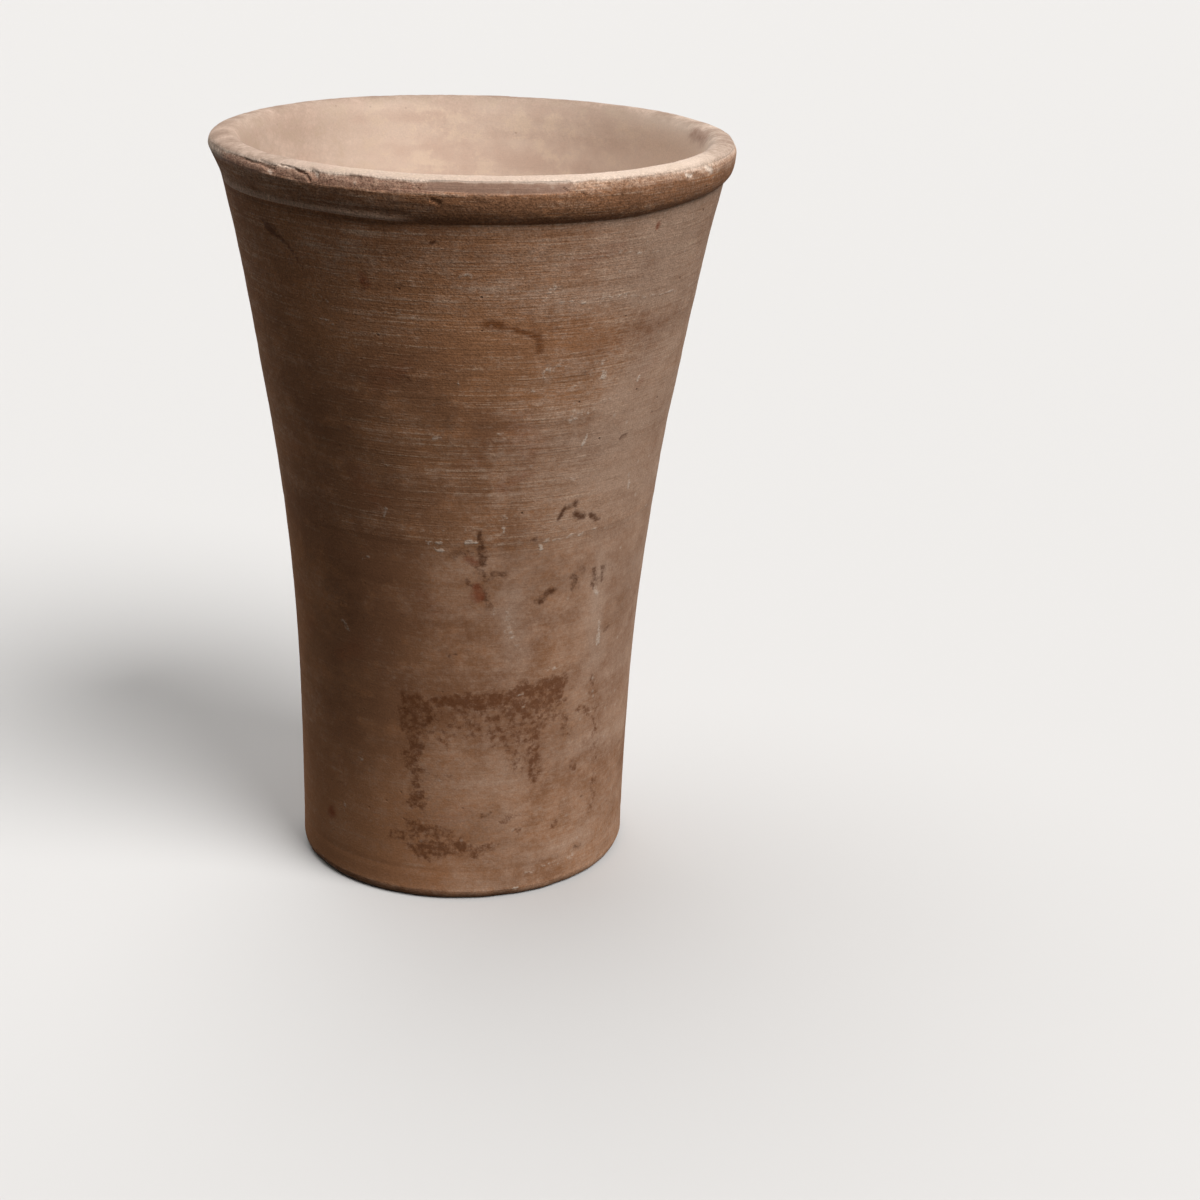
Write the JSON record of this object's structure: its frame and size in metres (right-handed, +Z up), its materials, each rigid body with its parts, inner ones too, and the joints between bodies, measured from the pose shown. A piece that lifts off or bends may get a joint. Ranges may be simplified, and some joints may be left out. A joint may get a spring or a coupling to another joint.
{
  "type": "conical vase",
  "caption": "Round earthenware vase that flares upward from a flat standing base to a rolled rim, open at the top to hold stems, water or dry goods.",
  "frame": {"origin": "centre of the flat standing face", "axes": "+Z up from the standing face towards the mouth; the hand-turned axis drifts slightly towards +X on its way up; -Y faces the viewer of the reference picture"},
  "size_m": [0.13, 0.13, 0.19],
  "materials": {
    "fired_clay": "matte unglazed earthenware, wiped smooth, worn and stained"
  },
  "bodies": {
    "root": {"base_disc": "fired_clay", "lower_wall": "fired_clay", "upper_wall": "fired_clay", "rim_band": "fired_clay"}
  },
  "joints": []
}
